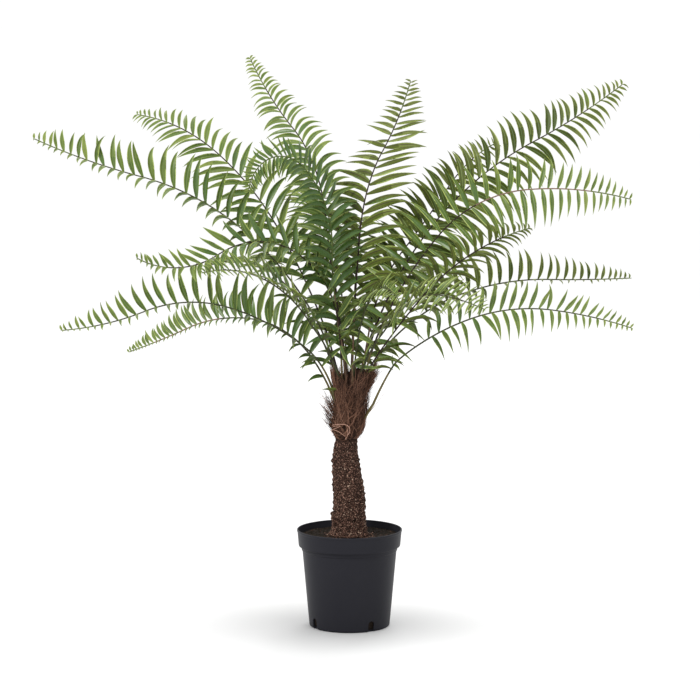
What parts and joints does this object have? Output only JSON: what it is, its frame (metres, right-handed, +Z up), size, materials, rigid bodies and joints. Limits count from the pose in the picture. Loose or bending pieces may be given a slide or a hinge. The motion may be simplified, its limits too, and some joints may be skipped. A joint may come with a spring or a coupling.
{
  "type": "potted artificial tree fern",
  "caption": "Artificial tree fern in a plain round nursery pot: a short crumb-coated trunk, a fibre collar and a spreading crown of pinnate fronds on wired stems.",
  "frame": {"origin": "centre of the pot's flat underside, where it stands", "axes": "+Z up; -Y towards the viewer of the picture; +X to the viewer's right, the direction of the crown's greatest spread"},
  "size_m": [0.976, 0.8363, 0.9293],
  "materials": {
    "pot": "matt anthracite moulded plastic",
    "filling": "dark brown glued crumb",
    "trunk": "coarse fibre crumb, matt",
    "collar": "loose upright coir fibre",
    "frond": "satin printed foliage plastic"
  },
  "bodies": {
    "root": {"pot": "pot", "pot_filling": "filling", "trunk": "trunk", "fibre_collar": "collar", "frond_01": "frond", "frond_01_outer": "frond", "frond_02": "frond", "frond_03": "frond", "frond_04": "frond", "frond_05": "frond", "frond_06": "frond", "frond_07": "frond", "frond_07_outer": "frond", "frond_08": "frond", "frond_08_outer": "frond", "frond_09": "frond", "frond_09_outer": "frond", "frond_10": "frond", "frond_10_outer": "frond", "frond_11": "frond", "frond_11_outer": "frond", "frond_12": "frond", "frond_13": "frond", "frond_14": "frond", "frond_15": "frond", "frond_15_outer": "frond", "frond_16": "frond", "frond_16_outer": "frond", "frond_17": "frond", "frond_18": "frond", "frond_19": "frond", "frond_19_outer": "frond", "frond_20": "frond", "frond_20_outer": "frond", "frond_21": "frond", "frond_21_outer": "frond", "frond_22": "frond", "frond_22_outer": "frond"}
  },
  "joints": []
}
